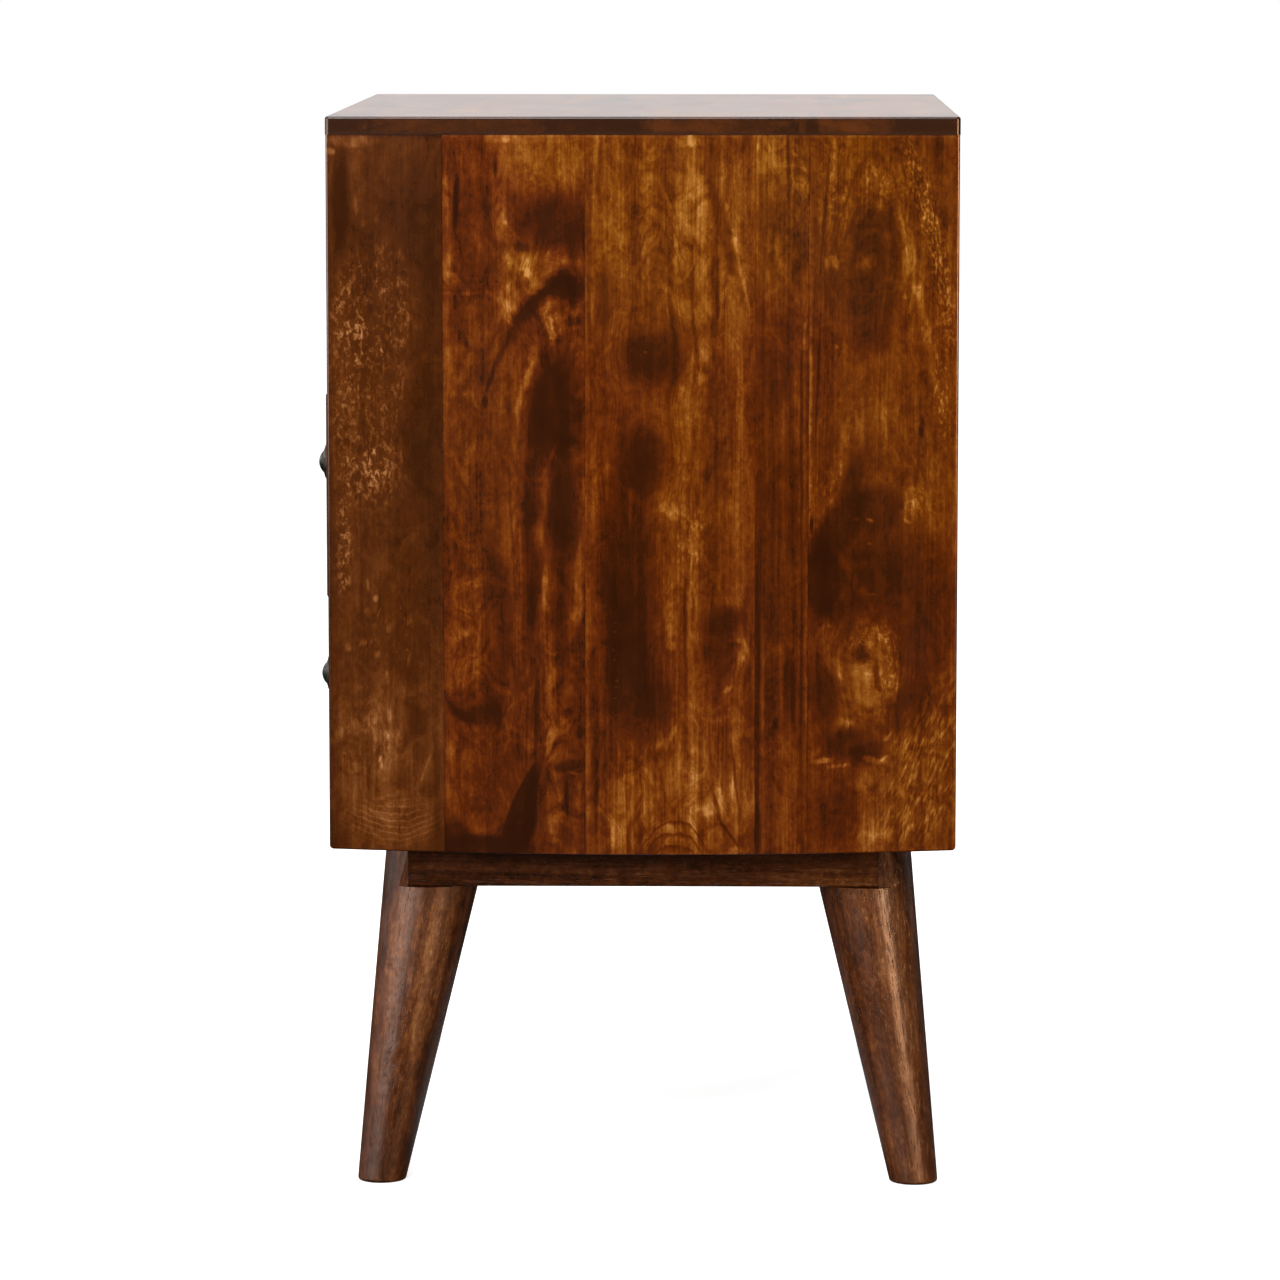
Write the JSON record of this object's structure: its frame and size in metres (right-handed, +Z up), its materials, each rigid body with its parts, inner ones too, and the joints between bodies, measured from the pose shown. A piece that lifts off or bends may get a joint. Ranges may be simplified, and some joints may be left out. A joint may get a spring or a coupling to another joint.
{
  "type": "nightstand",
  "caption": "Wooden nightstand with an open niche over drawers that slide out by turned metal knobs, standing on a rail frame with tapered, splayed legs.",
  "frame": {"origin": "on the floor, under the middle of the whole box, with the knobs in it", "axes": "-Y points to the front, where the knobs are; +Z up; +X to the right of someone who stands in front and faces the nightstand"},
  "size_m": [0.4506, 0.3712, 0.6],
  "materials": {
    "case_wood": "glossy chestnut lacquer over solid wood with dark knots and streaks",
    "stand_wood": "glossy brown lacquer over turned and planed solid wood",
    "drawer_wood": "satin clear coat over lighter solid wood",
    "plywood": "stained plywood, satin",
    "beech_pegs": "bare beech",
    "dark_bronze": "antiqued dark bronze, worn lighter on the high spots",
    "steel": "zinc-plated steel"
  },
  "bodies": {
    "case": {"back_panel": "plywood", "back_panel_nails": "steel", "bottom_board": "case_wood", "divider_board": "case_wood", "front_left_leg": "stand_wood", "front_rail": "stand_wood", "front_right_leg": "stand_wood", "left_rail": "stand_wood", "left_side_stave_1": "case_wood", "left_side_stave_2": "case_wood", "left_side_stave_3": "case_wood", "left_side_stave_4": "case_wood", "left_side_stave_5": "case_wood", "leg_cheek_screws": "steel", "leg_shoulder_screws": "steel", "lower_drawer_stops": "drawer_wood", "niche_floor_board": "case_wood", "rail_dowels": "beech_pegs", "rear_left_leg": "stand_wood", "rear_rail": "stand_wood", "rear_right_leg": "stand_wood", "right_rail": "stand_wood", "right_side_stave_1": "case_wood", "right_side_stave_2": "case_wood", "right_side_stave_3": "case_wood", "right_side_stave_4": "case_wood", "right_side_stave_5": "case_wood", "stand_screws": "steel", "top_dowels": "beech_pegs", "top_stave_1": "case_wood", "top_stave_2": "case_wood", "top_stave_3": "case_wood", "top_stave_4": "case_wood", "upper_drawer_stops": "drawer_wood"},
    "upper_drawer": {"upper_drawer_back": "drawer_wood", "upper_drawer_bottom": "plywood", "upper_drawer_bottom_nails": "steel", "upper_drawer_dowels": "beech_pegs", "upper_drawer_front": "case_wood", "upper_drawer_left_side": "drawer_wood", "upper_drawer_right_side": "drawer_wood", "upper_knob": "dark_bronze", "upper_knob_screw": "steel"},
    "lower_drawer": {"lower_drawer_back": "drawer_wood", "lower_drawer_bottom": "plywood", "lower_drawer_bottom_nails": "steel", "lower_drawer_dowels": "beech_pegs", "lower_drawer_front": "case_wood", "lower_drawer_left_side": "drawer_wood", "lower_drawer_right_side": "drawer_wood", "lower_knob": "dark_bronze", "lower_knob_screw": "steel"}
  },
  "joints": [
    {"name": "upper_drawer_slide", "type": "slide", "parent": "case", "child": "upper_drawer", "axis": [0, -1, 0], "range_m": [0, 0.22]},
    {"name": "lower_drawer_slide", "type": "slide", "parent": "case", "child": "lower_drawer", "axis": [0, -1, 0], "range_m": [0, 0.22]}
  ]
}
